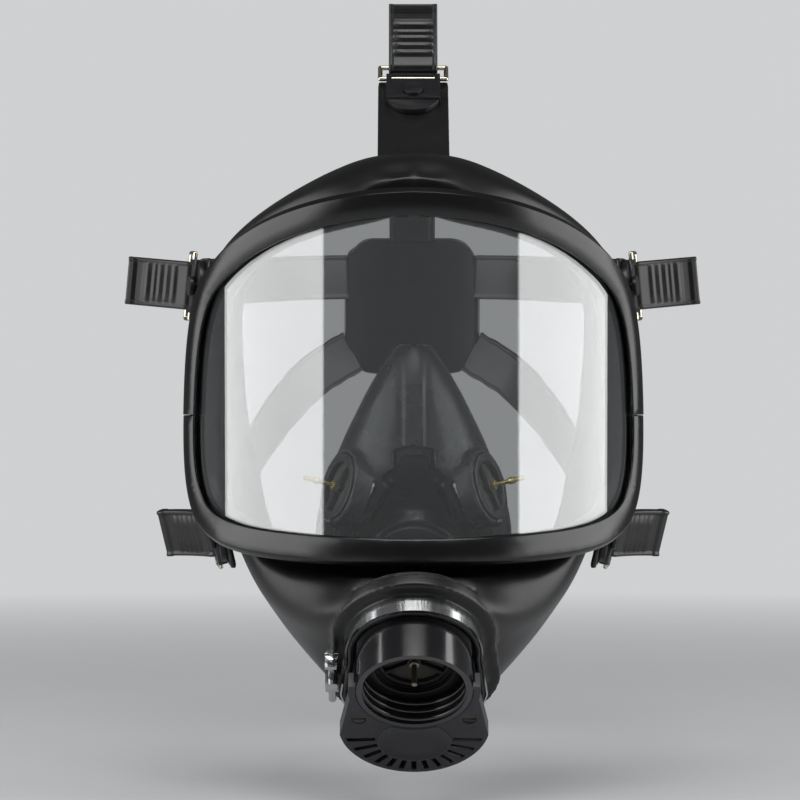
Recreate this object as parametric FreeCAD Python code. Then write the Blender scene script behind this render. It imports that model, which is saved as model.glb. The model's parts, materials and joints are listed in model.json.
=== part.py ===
import FreeCAD, Part
import math
import os

# Full face respirator with a single front connector. Millimetres, +Z up, the mask looks along -Y.
# Origin: the centre of the face opening, on the axis of the cylindrical visor.

V = FreeCAD.Vector
X_AXIS = V(1, 0, 0)
Y_AXIS = V(0, 1, 0)
Z_AXIS = V(0, 0, 1)

# Visor and frame
VISOR_R = 95.0            # outer radius of the clear cylinder
VISOR_T = 2.5
FRAME_OUTLINE = (         # outer edge of the frame, half of it: degrees round the cylinder, height
    (0, 81.6), (17, 79.2), (38, 70.0), (52, 59.0), (61.5, 47.5), (68, 30.0), (71.9, 0),
    (69.6, -36), (63.5, -49.0), (52, -57.6), (32, -62.2), (0, -64.3),
)
FRAME_BAND = 11.0         # width of the frame's face
FRAME_WALL = 2.2
RIM_T = 1.0               # rubber between the visor and the frame
VISOR_INSET = 4.2         # frame's outer edge to the visor's edge
FRAME_SPLIT_Z = -6.0      # height where the two frame halves meet
FRAME_GAP = 0.2
EAR_L = 7.0               # frame ear: length along the rim, width and thickness
EAR_W = 8.0
EAR_T = 5.0
FRAME_SCREW_R = 1.5
FRAME_SCREW_HEAD_R = 2.8
FRAME_SCREW_HEAD_H = 1.8
FRAME_NUT_R = 2.9
FRAME_NUT_H = 2.4
SCREW_CLEAR = 0.1
FIT = 0.15                # gap between pieces that are pressed together
LIP_GAP = 0.35            # the same, round the visor's edge

# Rubber face blank: (turn from the top, then distance from the face axis and depth of each point)
FACE_AXIS_Z = 10.0
RUBBER_T = 2.4
BLANK_PATHS = (
    (0, (75, -84), (80, -80), (84, -75), (87, -69), (87.5, -61), (86, -54), (77, -49)),
    (30, (72, -77), (79, -73), (83.5, -68), (86, -61), (86.5, -54), (84, -47), (75, -42)),
    (60, (84, -42), (89, -37), (92, -31), (92, -24), (91, -18), (87, -12), (77, -9)),
    (90, (82, -22), (84, -14), (85, -6), (85, 0), (83, 7), (79, 12), (70, 10)),
    (120, (87, -27), (89, -20), (90, -13), (90, -6), (88, 0), (83, 7), (74, 5)),
    (140, (96, -60), (99, -57), (101, -52), (102, -44), (101, -32), (96, -20), (87, -14)),
    (150, (89, -79), (97, -80), (103, -76), (108, -62), (110, -42), (105, -24), (95, -18)),
    (160, (82, -86), (87, -99), (93, -103), (108, -84), (119, -56), (114, -28), (102, -20)),
    (170, (78.5, -86), (79, -104), (80.5, -117), (110, -86), (132, -57), (125, -30), (110, -20)),
    (180, (77.5, -86), (77.5, -105), (79, -119), (110, -86), (136, -57), (129, -30), (114, -20)),
)
STATIONS = 24             # sections round half of the perimeter

# Connector: local frame at the centre of its mouth, local z outwards along its axis
TILT = 47.0               # degrees below the horizontal
MOUTH = V(0, -117, -110)
THREAD_R = 20.0
THREAD_L = 13.0
LEAD_L = 3.0              # first stretch of the thread, before its relief groove
GROOVE_W = 0.8
GROOVE_D = 0.5
TUBE_R = THREAD_R + 2.0
TUBE_L = 17.5
PLATE_T = 2.5
NECK_TOP_R = TUBE_R + 1.0  # D-shaped insert: two circles joined by tangents
NECK_LOW_R = 25.5
NECK_DROP = 21.5
NECK_L = 10.5
HOUSING_WALL = 2.5
INHALE_R = 14.0
EXHALE_R = 8.5
EXHALE_Y = -35.0
CHAMBER_WALL = 2.0
COVER_LOW_R = 29.0
COVER_TOP_R = TUBE_R + 3.0
COVER_T = 2.6
COVER_SKIRT = 7.0
COVER_WALL = 2.0
COVER_TOP_Y = 3.0
COVER_BOSS_R = 3.2
COVER_SCREW_SINK = 1.7
SLOT_COUNT = 13
SLOT_FIRST = 2.0          # degrees below the level of the end slots
SLOT_W = 2.0
SLOT_RIM = 1.8            # plate left outside the slots
MEDAL_W = 15.0            # half axes of the plain oval between the slots
MEDAL_H = 12.4
MEDAL_Y = -29.0
COVER_CLEAR = 0.3
COVER_SCREW_X = 21.0
COVER_SCREW_Y = -17.0
COVER_SCREW_R = 1.4
COVER_SCREW_HEAD_R = 2.7
COVER_SCREW_L = 9.0
DRIVER_SLOT = 0.9         # width and depth of the screws' slots
SLEEVE_T = 2.5
SLEEVE_L = 8.5
BEAD_R = 6.0
BEAD_T = 5.5
BAND_W = 7.4
BAND_T = 0.8
BAND_SCREW_R = 1.5
BAND_SCREW_L = 25.0
BAND_SCREW_X = NECK_LOW_R + SLEEVE_T + 3.6
BAND_HEAD_H = 3.0
BAND_NUT_H = 4.0
BAND_EAR_R = 2.6
BAND_EAR_T = 1.6
BAND_EAR_Y = -14.0
BAND_EAR_GAP = 9.0
GASKET_T = 2.0
SEAT_DROP = 0.8
SEAT_T = 2.0
INHALE_DISC_T = 0.8
INHALE_TRAVEL = 2.5
PIN_R = 1.0
PIN_SINK = 0.4            # pin's tip below the groove's edge
EXHALE_DISC_R = EXHALE_R + 1.1
EXHALE_DISC_T = 1.2
SPRING_R = 3.4
SPRING_WIRE_R = 0.35
SPRING_TURNS = 5
RUN_CLEAR = 0.05


def periodic_outline(points):
    """The frame's outline unrolled: distance round the visor and height, as a closed curve from the top."""
    half = [V(math.radians(turn) * VISOR_R, z, 0) for turn, z in points]
    left = [V(-p.x, p.y, 0) for p in half[-2:0:-1]]
    curve = Part.BSplineCurve()
    curve.interpolate(half + left, PeriodicFlag=True)
    return curve


OUTLINE = periodic_outline(FRAME_OUTLINE)
OUTLINE_LENGTH = OUTLINE.length()


def outline_at(share):
    """Point and inward normal of the unrolled outline at a share of its length, 0 and 1 at the top."""
    u = OUTLINE.parameterAtDistance((share % 1.0) * OUTLINE_LENGTH, OUTLINE.FirstParameter)
    point = OUTLINE.value(u)
    along = OUTLINE.tangent(u)[0]
    inward = V(along.y, -along.x, 0)
    if abs(point.x) < 0.05:
        point.x = 0
        inward = V(0, -1 if point.y > 0 else 1, 0)
    return point, inward


def wrap(point, radius):
    """Puts a point of the unrolled outline on a cylinder about the visor's axis."""
    turn = point.x / VISOR_R
    return V(radius * math.sin(turn), -radius * math.cos(turn), point.y)


def rim_point(share, height, depth):
    """Point at a height over the visor's outer face, a depth inwards of the frame's outer edge."""
    point, inward = outline_at(share)
    return wrap(point + inward * depth, VISOR_R + height)


def closed_wire(points):
    return Part.makePolygon(points + [points[0]])


def mirrored(shape):
    return shape.mirror(V(0, 0, 0), X_AXIS)


def rim_ring(profile):
    """Solid swept round the whole rim from (height, depth) corners, as two halves that meet at x = 0."""
    wires = []
    for i in range(STATIONS + 1):
        share = 0.5 * i / STATIONS
        wires.append(closed_wire([rim_point(share, *corner) for corner in profile]))
    half = Part.makeLoft(wires, True, False)
    return [half, mirrored(half)]


def box_profile(low, high, start, end):
    return [(low, start), (high, start), (high, end), (low, end)]


def visor():
    """Clear cylinder patch: a curved sheet trimmed to the outline less its inset."""
    tall = 2 * max(z for _, z in FRAME_OUTLINE)
    sheet = Part.makeCylinder(VISOR_R, 2 * tall, V(0, 0, -tall))
    sheet = sheet.cut(Part.makeCylinder(VISOR_R - VISOR_T, 2 * tall, V(0, 0, -tall)))
    front = Part.makeBox(4 * VISOR_R, 2 * VISOR_R, 2 * tall, V(-2 * VISOR_R, -2 * VISOR_R, -tall))
    sheet = sheet.common(front)
    trim = box_profile(-2 * VISOR_T, VISOR_T, -8 * VISOR_INSET, VISOR_INSET)
    for ring in rim_ring(trim):
        sheet = sheet.cut(ring)
    return max(sheet.Solids, key=lambda solid: -abs(solid.CenterOfMass.x) - abs(solid.CenterOfMass.z))


CHANNEL_FLOOR = -VISOR_T - RIM_T - RUBBER_T   # height of the inner face of the frame's back leg
LEG_L = VISOR_INSET + 1.5                     # reach of the back leg
FRAME_PROFILE = (
    (RIM_T, FRAME_BAND), (RIM_T, FRAME_WALL), (CHANNEL_FLOOR, FRAME_WALL),
    (CHANNEL_FLOOR, LEG_L), (CHANNEL_FLOOR - FRAME_WALL, LEG_L),
    (CHANNEL_FLOOR - FRAME_WALL, 1.0), (-VISOR_T, 0), (RIM_T, 0),
    (RIM_T + FRAME_WALL, 2.0), (RIM_T + FRAME_WALL, FRAME_BAND - 4.0), (RIM_T + 1.0, FRAME_BAND),
)


def slab(low, high, size=400.0):
    """A wide block between two heights."""
    return Part.makeBox(size, size, high - low, V(-size / 2, -size / 2, low))


def split_share():
    """Share of the outline's length, below a half, where it passes the split height."""
    low, high = 0.1, 0.4
    for _ in range(40):
        middle = (low + high) / 2
        if outline_at(middle)[0].y > FRAME_SPLIT_Z:
            low = middle
        else:
            high = middle
    return low


def at_ear(shape, side):
    """Places a shape at a frame ear: local -x outwards off the rim, y towards the visor's axis, z up."""
    point, _ = outline_at(split_share())
    turn = side * abs(point.x) / VISOR_R
    moved = shape.copy()
    if side > 0:
        moved = moved.mirror(V(0, 0, 0), X_AXIS)
    corner = V(VISOR_R * math.sin(turn), -VISOR_R * math.cos(turn), FRAME_SPLIT_Z)
    place = FreeCAD.Placement(corner, FreeCAD.Rotation(Z_AXIS, math.degrees(turn)))
    moved.Placement = place.multiply(moved.Placement)
    return moved


def ear(side, way):
    """Block with a screw hole on the frame's outer edge, above (way 1) or below (way -1) the split."""
    low = FRAME_GAP / 2 if way > 0 else -FRAME_GAP / 2 - EAR_W
    block = Part.makeBox(EAR_L + 1, EAR_T, EAR_W, V(-EAR_L, 0, low))
    hole = cylinder(FRAME_SCREW_R + SCREW_CLEAR, low - 1, low + EAR_W + 1, -EAR_L / 2, EAR_T / 2)
    return at_ear(block.cut(hole), side)


def frame_halves():
    """The upper and lower halves of the frame, parted at the split height, each with two ears."""
    left, right = rim_ring(FRAME_PROFILE)
    ring = left.fuse(right)
    upper = ring.common(slab(FRAME_SPLIT_Z + FRAME_GAP / 2, 200))
    lower = ring.common(slab(-200, FRAME_SPLIT_Z - FRAME_GAP / 2))
    upper = upper.fuse([ear(-1, 1), ear(1, 1)])
    lower = lower.fuse([ear(-1, -1), ear(1, -1)])
    return upper.Solids, lower.Solids


def frame_screws():
    top = FRAME_GAP / 2 + EAR_W
    screws = []
    for side in (-1, 1):
        shank = cylinder(FRAME_SCREW_R, -top - FRAME_NUT_H - 1, top, -EAR_L / 2, EAR_T / 2)
        head = cylinder(FRAME_SCREW_HEAD_R, top + FIT, top + FRAME_SCREW_HEAD_H, -EAR_L / 2, EAR_T / 2)
        neck = cylinder(FRAME_SCREW_R, top - 1, top + 1, -EAR_L / 2, EAR_T / 2)
        screws.append(at_ear(shank.fuse([head, neck]), side))
    return screws


def frame_nuts():
    """Two hexagon nuts under the lower ears."""
    high = -FRAME_GAP / 2 - EAR_W - FIT
    turns = [math.radians(60 * i) for i in range(6)]
    corners = [V(math.cos(turn), math.sin(turn), 0) * FRAME_NUT_R for turn in turns]
    nuts = []
    for side in (-1, 1):
        nut = Part.Face(closed_wire(corners)).extrude(V(0, 0, FRAME_NUT_H))
        nut.translate(V(-EAR_L / 2, EAR_T / 2, high - FRAME_NUT_H))
        nuts.append(at_ear(nut.cut(cylinder(FRAME_SCREW_R, -40, 0, -EAR_L / 2, EAR_T / 2)), side))
    return nuts


NECK_FRONT = -TUBE_L       # local height of the insert's front plate
BAND_MIDDLE = NECK_FRONT - SLEEVE_L + 0.4 + BAND_W / 2


def placed(shape):
    """Moves a shape from the connector's local frame to the mask's frame."""
    moved = shape.copy()
    moved.Placement = FreeCAD.Placement(MOUTH, FreeCAD.Rotation(X_AXIS, 90 + TILT)).multiply(shape.Placement)
    return moved


def hull_prism(top_r, low_r, low, high, drop=NECK_DROP):
    """Extruded outline of two circles, one below the other, joined by tangents."""
    lean = math.asin((top_r - low_r) / drop)
    side = V(math.cos(lean), math.sin(lean), 0)
    flip = V(-side.x, side.y, 0)
    centre = V(0, -drop, 0)
    arcs = (
        Part.Arc(flip * top_r, V(0, top_r, 0), side * top_r).toShape(),
        Part.makeLine(side * top_r, centre + side * low_r),
        Part.Arc(centre + side * low_r, centre + V(0, -low_r, 0), centre + flip * low_r).toShape(),
        Part.makeLine(centre + flip * low_r, flip * top_r),
    )
    face = Part.Face(Part.Wire(arcs))
    face.translate(V(0, 0, low))
    return face.extrude(V(0, 0, high - low))


def d_prism(grow, low, high):
    """The neck's D shape, grown all round."""
    return hull_prism(NECK_TOP_R + grow, NECK_LOW_R + grow, low, high)


def eased(keys, values, at):
    """Smooth curve through values at sorted keys, level at both ends."""
    i = max(k for k in range(len(keys) - 1) if keys[k] <= at or k == 0)
    slopes = [0.0]
    for k in range(1, len(keys) - 1):
        slopes.append((values[k + 1] - values[k - 1]) / (keys[k + 1] - keys[k - 1]))
    slopes.append(0.0)
    span = keys[i + 1] - keys[i]
    t = min(1.0, max(0.0, (at - keys[i]) / span))
    hold = (1 + 2 * t) * (1 - t) ** 2 * values[i] + t * t * (3 - 2 * t) * values[i + 1]
    return hold + span * (t * (1 - t) ** 2 * slopes[i] - t * t * (1 - t) * slopes[i + 1])


def blank_path(turn):
    """Outer line of the blank's wall at a turn from the top: (distance, depth) points."""
    keys = [row[0] for row in BLANK_PATHS]
    path = []
    for k in range(1, len(BLANK_PATHS[0])):
        path.append(tuple(eased(keys, [row[k][axis] for row in BLANK_PATHS], turn) for axis in (0, 1)))
    return path


def inside(path, gap):
    """The same line moved towards the face by the wall's thickness, mitred at its corners."""
    points = [V(rho, y, 0) for rho, y in path]
    sides = [(b - a).normalize() for a, b in zip(points, points[1:])]
    moved = []
    for i, point in enumerate(points):
        before = sides[max(i - 1, 0)]
        after = sides[min(i, len(sides) - 1)]
        normal = V(-before.y - after.y, before.x + after.x, 0)
        mitre = 2 * gap / max(normal.Length ** 2, 1.0)
        moved.append((point.x + normal.x * mitre, point.y + normal.y * mitre))
    return moved


def spline_edge(points):
    curve = Part.BSplineCurve()
    curve.interpolate(points)
    return curve.toShape()


def line_edges(points):
    return [Part.makeLine(a, b) for a, b in zip(points, points[1:])]


# The blank's lip and neck in the frame's section: (height, distance in from the outline)
NECK_DEPTH = CHANNEL_FLOOR - 5.3
LIP_OUT = (
    (RIM_T - LIP_GAP, FRAME_BAND - 1), (RIM_T - LIP_GAP, FRAME_WALL + LIP_GAP),
    (CHANNEL_FLOOR + LIP_GAP, FRAME_WALL + LIP_GAP),
)
NECK_OUT = (
    (CHANNEL_FLOOR + LIP_GAP, LEG_L + 0.5), (CHANNEL_FLOOR - 4.0, LEG_L + 1.3), (NECK_DEPTH, 0.5),
)
NECK_IN = (
    (NECK_DEPTH - RUBBER_T, 1.0), (CHANNEL_FLOOR - 6.0, LEG_L + 3.6),
    (-VISOR_T - LIP_GAP, LEG_L + 3.0),
)
LIP_IN = (
    (-VISOR_T - LIP_GAP, VISOR_INSET - LIP_GAP), (LIP_GAP, VISOR_INSET - LIP_GAP),
    (LIP_GAP, FRAME_BAND - 1),
)


def blank_section(share):
    """Closed wire across the blank: a lip round the visor's edge, a neck behind the frame, the wall."""
    point, _ = outline_at(share)
    at = wrap(point, VISOR_R)
    turn = math.atan2(at.x, at.z - FACE_AXIS_Z)
    out = V(math.sin(turn), 0, math.cos(turn))
    if abs(at.x) < 0.01:
        out = V(0, 0, 1 if at.z > 0 else -1)
    centre = V(0, 0, FACE_AXIS_Z)
    path = blank_path(abs(math.degrees(turn)))
    wall = [centre + out * rho + V(0, y, 0) for rho, y in path]
    back = [centre + out * rho + V(0, y, 0) for rho, y in reversed(inside(path, RUBBER_T))]
    lip_out = [rim_point(share, *corner) for corner in LIP_OUT]
    neck_out = [rim_point(share, *corner) for corner in NECK_OUT]
    neck_in = [rim_point(share, *corner) for corner in NECK_IN]
    lip_in = [rim_point(share, *corner) for corner in LIP_IN]
    edges = line_edges(lip_out + neck_out[:1])
    edges.append(spline_edge(neck_out + wall))
    edges.append(Part.makeLine(wall[-1], back[0]))
    edges.append(spline_edge(back + neck_in))
    edges += line_edges(neck_in[-1:] + lip_in + lip_out[:1])
    return Part.Wire(edges)


def blank_halves():
    """The rubber body's wall and lip, as two mirrored halves cut away where the sleeve passes."""
    sections = [blank_section(0.5 * i / STATIONS) for i in range(STATIONS + 1)]
    half = Part.makeLoft(sections, True, False)
    window_low = NECK_FRONT - SLEEVE_L - BEAD_T - 2 * RIM_T
    window = placed(d_prism(SLEEVE_T + BEAD_R, window_low, NECK_FRONT + NECK_L))
    half = max(half.cut(window).Solids, key=lambda solid: solid.Volume)
    return [half, mirrored(half)]


def blank_sleeve():
    """The blank's sleeve with its bead, that the connector is clamped in."""
    sleeve = d_prism(SLEEVE_T, NECK_FRONT - SLEEVE_L, NECK_FRONT - FIT)
    bead = d_prism(SLEEVE_T + BEAD_R, NECK_FRONT - SLEEVE_L - BEAD_T, NECK_FRONT - SLEEVE_L)
    hole = d_prism(0, NECK_FRONT - 2 * NECK_L, NECK_FRONT + 1)
    return placed(sleeve.fuse(bead).cut(hole))


def blank_lugs(halves):
    """The blank's five tongues for the buckles, cut where they run into its wall."""
    lugs = []
    for place in BUCKLES.values():
        tongue = buckle_placed(lug(place), place)
        lugs.append(max(tongue.cut(halves).Solids, key=lambda solid: solid.Volume))
    return lugs


def cylinder(radius, low, high, x=0.0, y=0.0):
    """Cylinder along local z between two heights."""
    return Part.makeCylinder(radius, high - low, V(x, y, low))


def tube(outer, inner, low, high, x=0.0, y=0.0):
    return cylinder(outer, low, high, x, y).cut(cylinder(inner, low - 1, high + 1, x, y))


def connector_housing():
    """Moulded tube with the thread's bore, a D insert behind it and the exhalation chamber's wall below."""
    plate_low = NECK_FRONT - PLATE_T
    insert = d_prism(0, NECK_FRONT - NECK_L, NECK_FRONT).cut(d_prism(-HOUSING_WALL, -3 * NECK_L, plate_low))
    chamber_low_r = COVER_LOW_R - COVER_WALL - COVER_CLEAR
    chamber_top_r = TUBE_R - 1.0
    chamber = hull_prism(chamber_top_r, chamber_low_r, NECK_FRONT, -COVER_T - FIT)
    cavity = hull_prism(chamber_top_r - CHAMBER_WALL, chamber_low_r - CHAMBER_WALL, NECK_FRONT, 1)
    body = insert.fuse([chamber.cut(cavity), cylinder(TUBE_R, NECK_FRONT, 0)])
    for side in (-1, 1):
        boss = cylinder(COVER_BOSS_R, NECK_FRONT, -COVER_T - FIT, side * COVER_SCREW_X, COVER_SCREW_Y)
        body = body.fuse(boss)
        screw = cylinder(COVER_SCREW_R + FIT, -COVER_SCREW_L - 1, 1, side * COVER_SCREW_X, COVER_SCREW_Y)
        body = body.cut(screw)
    body = body.cut(cylinder(THREAD_R, -THREAD_L, 1))
    body = body.cut(cylinder(THREAD_R + GROOVE_D, -LEAD_L - GROOVE_W, -LEAD_L))
    body = body.cut(cylinder(INHALE_R, -3 * NECK_L, 1))
    return body.cut(cylinder(EXHALE_R, -3 * NECK_L, NECK_FRONT, 0, EXHALE_Y))


def spokes(radius, width, low, high, count, x=0.0, y=0.0):
    """Thin bars from a centre out to a radius."""
    bars = []
    for i in range(count):
        bar = Part.makeBox(radius, width, high - low, V(0, -width / 2, low))
        bar.rotate(V(0, 0, 0), Z_AXIS, 360.0 * i / count + 90)
        bar.translate(V(x, y, 0))
        bars.append(bar)
    return bars


def inhalation_seat():
    """Ring, three spokes and a hub that carry the valve pin across the bore."""
    high = -THREAD_L - SEAT_DROP
    low = high - SEAT_T
    rim = tube(INHALE_R, INHALE_R - 1.6, low, high)
    hub = cylinder(2.6, low, high)
    seat = hub.fuse([rim] + spokes(INHALE_R - 1.2, 1.4, low, high, 3))
    return seat.cut(cylinder(PIN_R + RUN_CLEAR, low - 1, high + 1))


def inhalation_disc():
    high = -THREAD_L - SEAT_DROP - SEAT_T - FIT
    return tube(INHALE_R - 0.8, PIN_R + RUN_CLEAR, high - INHALE_DISC_T, high)


def inhalation_pin():
    """Pin with a head behind the disc, a collar on the hub and its tip sunk below the first stretch."""
    high = -THREAD_L - SEAT_DROP
    head = high - SEAT_T - INHALE_DISC_T - INHALE_TRAVEL - 3 * FIT
    collar = cylinder(1.9, high + FIT, high + 1.2)
    return cylinder(PIN_R, head - 1.2, -LEAD_L - PIN_SINK).fuse([collar, cylinder(2.2, head - 1.2, head)])


def exhalation_seat():
    """Ring in the exhalation port with a flange, three spokes and a guide pin for the disc."""
    flange = tube(EXHALE_R + 1.9, EXHALE_R - 1.2, NECK_FRONT + FIT, NECK_FRONT + 1.2, 0, EXHALE_Y)
    ring = tube(EXHALE_R - FIT, EXHALE_R - 1.2, NECK_FRONT - PLATE_T, NECK_FRONT + 1.2, 0, EXHALE_Y)
    low = NECK_FRONT - PLATE_T
    bars = spokes(EXHALE_R - 1.0, 1.2, low, NECK_FRONT + 1.0, 3, 0, EXHALE_Y)
    guide = cylinder(0.9, low, NECK_FRONT + 6, 0, EXHALE_Y)
    return flange.fuse([ring, guide] + bars)


def exhalation_disc():
    low = NECK_FRONT + 1.2 + FIT
    boss = cylinder(2.2, low, low + EXHALE_DISC_T + 1.0, 0, EXHALE_Y)
    disc = cylinder(EXHALE_DISC_R, low, low + EXHALE_DISC_T, 0, EXHALE_Y).fuse(boss)
    return disc.cut(cylinder(0.9 + RUN_CLEAR, low - 1, low + 5, 0, EXHALE_Y))


def exhalation_spring():
    """Light coil spring between the disc and the cover."""
    low = NECK_FRONT + 1.2 + FIT + EXHALE_DISC_T + SPRING_WIRE_R + 0.1
    height = -COVER_T - SPRING_WIRE_R - 0.1 - low
    helix = Part.makeHelix(height / SPRING_TURNS, height, SPRING_R)
    start = Part.Wire(Part.makeCircle(SPRING_WIRE_R, V(SPRING_R, 0, 0), Y_AXIS))
    coil = Part.Wire(helix).makePipeShell([start], True, True)
    coil.translate(V(0, EXHALE_Y, low))
    return coil


def exhalation_cover():
    """Cap over the exhalation chamber: a plate flush with the mouth, a skirt and radial slots."""
    cap = hull_prism(COVER_TOP_R, COVER_LOW_R, -COVER_SKIRT, 0)
    inner = hull_prism(COVER_TOP_R - COVER_WALL, COVER_LOW_R - COVER_WALL, -COVER_SKIRT - 1, -COVER_T)
    cap = cap.cut([inner, cylinder(TUBE_R + COVER_CLEAR, -COVER_SKIRT - 1, 1)])
    cap = cap.cut(Part.makeBox(80, 40, 60, V(-40, COVER_TOP_Y, -30)))
    plate = hull_prism(COVER_TOP_R - SLOT_RIM, COVER_LOW_R - SLOT_RIM, -2 * COVER_T, 1)
    for i in range(SLOT_COUNT):
        turn = math.radians(SLOT_FIRST + (180 - 2 * SLOT_FIRST) * i / (SLOT_COUNT - 1) + 180)
        start = 1 / math.hypot(math.cos(turn) / MEDAL_W, math.sin(turn) / MEDAL_H)
        slot = Part.makeBox(2 * COVER_LOW_R, SLOT_W, 3 * COVER_T, V(start, -SLOT_W / 2, -2 * COVER_T))
        slot.rotate(V(0, 0, 0), Z_AXIS, math.degrees(turn))
        slot.translate(V(0, MEDAL_Y, 0))
        cap = cap.cut(slot.common(plate))
    for side in (-1, 1):
        x = side * COVER_SCREW_X
        shank = cylinder(COVER_SCREW_R + SCREW_CLEAR, -9, 1, x, COVER_SCREW_Y)
        head = cylinder(COVER_SCREW_HEAD_R + SCREW_CLEAR, -COVER_SCREW_SINK, 1, x, COVER_SCREW_Y)
        cap = cap.cut([shank, head])
    return max(cap.Solids, key=lambda solid: solid.Volume)


def cover_screws():
    """Two countersunk-in screws that hold the cover to the housing's bosses."""
    screws = []
    for side in (-1, 1):
        x = side * COVER_SCREW_X
        shank = cylinder(COVER_SCREW_R, -COVER_SCREW_L, -COVER_SCREW_SINK, x, COVER_SCREW_Y)
        head = cylinder(COVER_SCREW_HEAD_R, -COVER_SCREW_SINK + FIT, -0.3, x, COVER_SCREW_Y)
        corner = V(x - COVER_SCREW_HEAD_R, COVER_SCREW_Y - DRIVER_SLOT / 2, -DRIVER_SLOT)
        slot = Part.makeBox(2 * COVER_SCREW_HEAD_R, DRIVER_SLOT, DRIVER_SLOT, corner)
        screws.append(placed(shank.fuse(head.cut(slot))))
    return screws


def clamp_band():
    """Steel band round the sleeve, open on one flank between two ears for the tightening screw."""
    low = BAND_MIDDLE - BAND_W / 2
    high = low + BAND_W
    band = d_prism(SLEEVE_T + BAND_T, low, high).cut(d_prism(SLEEVE_T + FIT, low - 1, high + 1))
    reach = BAND_SCREW_X + BAND_EAR_R
    corner = V(-reach, BAND_EAR_Y - BAND_EAR_GAP / 2, low - BAND_W)
    band = band.cut(Part.makeBox(reach, BAND_EAR_GAP, 3 * BAND_W, corner))
    root = -NECK_LOW_R - SLEEVE_T - 1.7
    for side in (-1, 1):
        y = BAND_EAR_Y + side * (BAND_EAR_GAP / 2 + BAND_EAR_T / 2) - BAND_EAR_T / 2
        ear = Part.makeBox(root + reach, BAND_EAR_T, BAND_W, V(-reach, y, low))
        start = V(-BAND_SCREW_X, y - BAND_EAR_T, BAND_MIDDLE)
        hole = Part.makeCylinder(BAND_SCREW_R + SCREW_CLEAR, 3 * BAND_EAR_T, start, Y_AXIS)
        ear = ear.cut([hole, d_prism(SLEEVE_T + FIT, low - 1, high + 1)])
        band = band.fuse(ear)
    return band


def clamp_screw():
    """Slotted screw across the band's two ears."""
    top = BAND_EAR_Y + BAND_EAR_GAP / 2 + BAND_EAR_T + FIT
    start = V(-BAND_SCREW_X, top - BAND_SCREW_L, BAND_MIDDLE)
    shank = Part.makeCylinder(BAND_SCREW_R, BAND_SCREW_L, start, Y_AXIS)
    head = Part.makeCylinder(BAND_EAR_R, BAND_HEAD_H, V(-BAND_SCREW_X, top, BAND_MIDDLE), Y_AXIS)
    corner = V(-BAND_SCREW_X - BAND_EAR_R, top + BAND_HEAD_H - DRIVER_SLOT, BAND_MIDDLE - DRIVER_SLOT / 2)
    slot = Part.makeBox(2 * BAND_EAR_R, DRIVER_SLOT, DRIVER_SLOT, corner)
    return shank.fuse(head.cut(slot))


def clamp_nut():
    """Square nut under the lower ear."""
    bottom = BAND_EAR_Y - BAND_EAR_GAP / 2 - BAND_EAR_T - FIT - BAND_NUT_H
    width = BAND_W - 1.0
    corner = V(-BAND_SCREW_X - BAND_EAR_R, bottom, BAND_MIDDLE - width / 2)
    block = Part.makeBox(2 * BAND_EAR_R, BAND_NUT_H, width, corner)
    start = V(-BAND_SCREW_X, bottom - 1, BAND_MIDDLE)
    return block.cut(Part.makeCylinder(BAND_SCREW_R, BAND_NUT_H + 2, start, Y_AXIS))


# Nose cup: (height, half width, front depth, centre depth) of its level sections
NOSE_SECTIONS = (
    (22, 6, -67, -60), (6, 17, -75, -56), (-14, 27, -81, -52), (-34, 35, -84.5, -48), (-54, 39, -83, -45),
    (-74, 36, -76, -43), (-90, 26, -66, -42),
)
NOSE_T = 2.2
CHECK_Y = -71.5
SPOUT_R = EXHALE_R + 1.0
SPOUT_LOW = -62.0
SPOUT_HIGH = -NECK_L - TUBE_L - 0.3
NOSE_BACK_Y = -45.0
FACET_TOP = V(0, -81.5, -29)   # top of the flat facet on the cup's front
FACET_LEAN = 23.6              # degrees the facet leans back from the vertical
SPEECH_DROP = 38.0             # from the facet's top to the speech diaphragm's centre, along the facet
SPEECH_R = 14.0
CHECK_X = 28.0                 # check valve centre and the lean of its axis
CHECK_Z = -34.0
CHECK_LEAN = 26.0
CHECK_RISE = 14.0
CHECK_R = 11.0
CHECK_TRAVEL = 1.5
CHECK_WELL = 5.0               # depth of the port's wall behind the seat
CHECK_PIN_R = 0.9
CHECK_PIN_L = 14.0


def nose_solid(shrink):
    """Closed loft of the level ellipses, less the part in front of the facet and behind the face line."""
    wires = []
    for z, half, front, centre in NOSE_SECTIONS:
        rise = shrink * (0.5 - (z - NOSE_SECTIONS[-1][0]) / (NOSE_SECTIONS[0][0] - NOSE_SECTIONS[-1][0])) * 2
        long, short = max(half, centre - front) - shrink, min(half, centre - front) - shrink
        ellipse = Part.Ellipse(V(0, 0, 0), long, short).toShape()
        if centre - front > half:
            ellipse.rotate(V(0, 0, 0), Z_AXIS, 90)
        ellipse.translate(V(0, centre, z + rise))
        wires.append(Part.Wire(ellipse))
    body = Part.makeLoft(wires, True, False)
    front = Part.makeBox(200, 100, 200, V(-100, -100 + shrink, -150))
    front.rotate(V(0, 0, 0), X_AXIS, FACET_LEAN)
    front.translate(FACET_TOP)
    return body.cut([front, Part.makeBox(200, 200, 300, V(-100, NOSE_BACK_Y, -150))])


def on_facet(shape):
    """Places a shape made about local z on the speech diaphragm's axis, z pointing out of the cup."""
    moved = shape.copy()
    turn = FreeCAD.Rotation(X_AXIS, 90 + FACET_LEAN)
    centre = FACET_TOP + turn.multVec(V(0, -SPEECH_DROP, 0))
    moved.Placement = FreeCAD.Placement(centre, turn)
    return moved


def check_axis(side):
    lean = math.radians(CHECK_LEAN)
    rise = math.radians(CHECK_RISE)
    return V(side * math.cos(lean) * math.cos(rise), -math.sin(lean) * math.cos(rise), math.sin(rise))


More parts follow.
